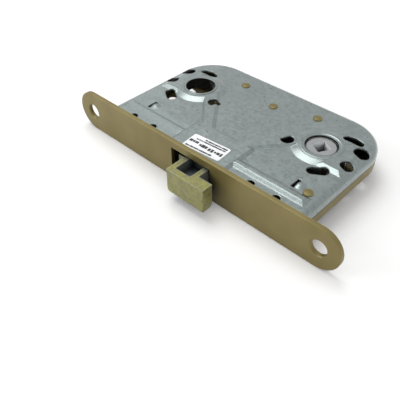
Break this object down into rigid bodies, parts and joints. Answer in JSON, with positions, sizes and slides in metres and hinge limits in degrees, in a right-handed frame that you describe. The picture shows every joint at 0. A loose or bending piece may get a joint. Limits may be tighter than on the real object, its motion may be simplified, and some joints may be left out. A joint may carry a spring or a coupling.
{
  "type": "sliding door lock case",
  "caption": "Mortice lock case for a sliding door, with a swinging hook bolt, a long round-ended faceplate and bores for a thumb turn and a pull handle.",
  "frame": {"origin": "midway between the two faceplate screw holes, on the faceplate's front face and at its mid width", "axes": "+X along the faceplate towards the follower's end, +Y into the door, +Z out through the bare cover"},
  "size_m": [0.168, 0.0944, 0.022],
  "materials": {
    "bronze_coat": "satin bronze coat",
    "bronze_plate": "satin bronze coat",
    "galvanised": "bare galvanised sheet",
    "rivet_bronze": "satin bronze coat",
    "zinc_yellow": "yellow passivated zinc casting",
    "bare_steel": "zinc plated steel",
    "pin_steel": "turned steel",
    "spring_steel": "tempered steel",
    "lilac_plastic": "moulded plastic",
    "washer_plastic": "natural plastic",
    "label_paper": "white film"
  },
  "bodies": {
    "case": {"case_tray": "bronze_coat", "case_cover": "galvanised", "faceplate": "bronze_plate", "case_rivets": "rivet_bronze", "crank_posts": "bare_steel", "crank_washers": "washer_plastic", "crank_clips": "spring_steel", "spring_posts": "bare_steel", "detent_spring": "spring_steel", "thrust_washers": "washer_plastic", "rating_label": "label_paper"},
    "follower": {"follower_hub": "lilac_plastic", "follower_crank": "bare_steel", "hub_link_pin": "pin_steel"},
    "link": {"drive_link": "bare_steel"},
    "rear_arm": {"rear_crank": "bare_steel", "rear_bolt_pin": "pin_steel", "rear_link_pin": "pin_steel"},
    "front_arm": {"front_crank": "bare_steel", "front_bolt_pin": "pin_steel"},
    "bolt": {"hook_bolt": "zinc_yellow"}
  },
  "joints": [
    {"name": "follower_turn", "type": "hinge", "parent": "case", "child": "follower", "pos_m": [0.04, 0.05, 0], "axis": [0, 0, 1], "range_deg": [-90, 0], "deforming": ["detent_spring"]},
    {"name": "link_swing", "type": "hinge", "parent": "follower", "child": "link", "pos_m": [0.02744, 0.05336, 0], "axis": [0, 0, 1], "range_deg": [0, 90]},
    {"name": "rear_crank_turn", "type": "hinge", "parent": "case", "child": "rear_arm", "pos_m": [0.00353, 0.03026, 0], "axis": [0, 0, 1], "range_deg": [-90, 0]},
    {"name": "front_crank_turn", "type": "hinge", "parent": "case", "child": "front_arm", "pos_m": [0.01043, 0.02046, 0], "axis": [0, 0, 1], "range_deg": [-90, 0]},
    {"name": "bolt_swing", "type": "hinge", "parent": "front_arm", "child": "bolt", "pos_m": [0.0085, 0.0095, 0], "axis": [0, 0, 1], "range_deg": [0, 90]}
  ],
  "couplings": [
    {"joint": "link_swing", "follows": "follower_turn", "ratio": -1},
    {"joint": "rear_crank_turn", "follows": "follower_turn", "ratio": 1},
    {"joint": "front_crank_turn", "follows": "follower_turn", "ratio": 1},
    {"joint": "bolt_swing", "follows": "follower_turn", "ratio": -1}
  ]
}
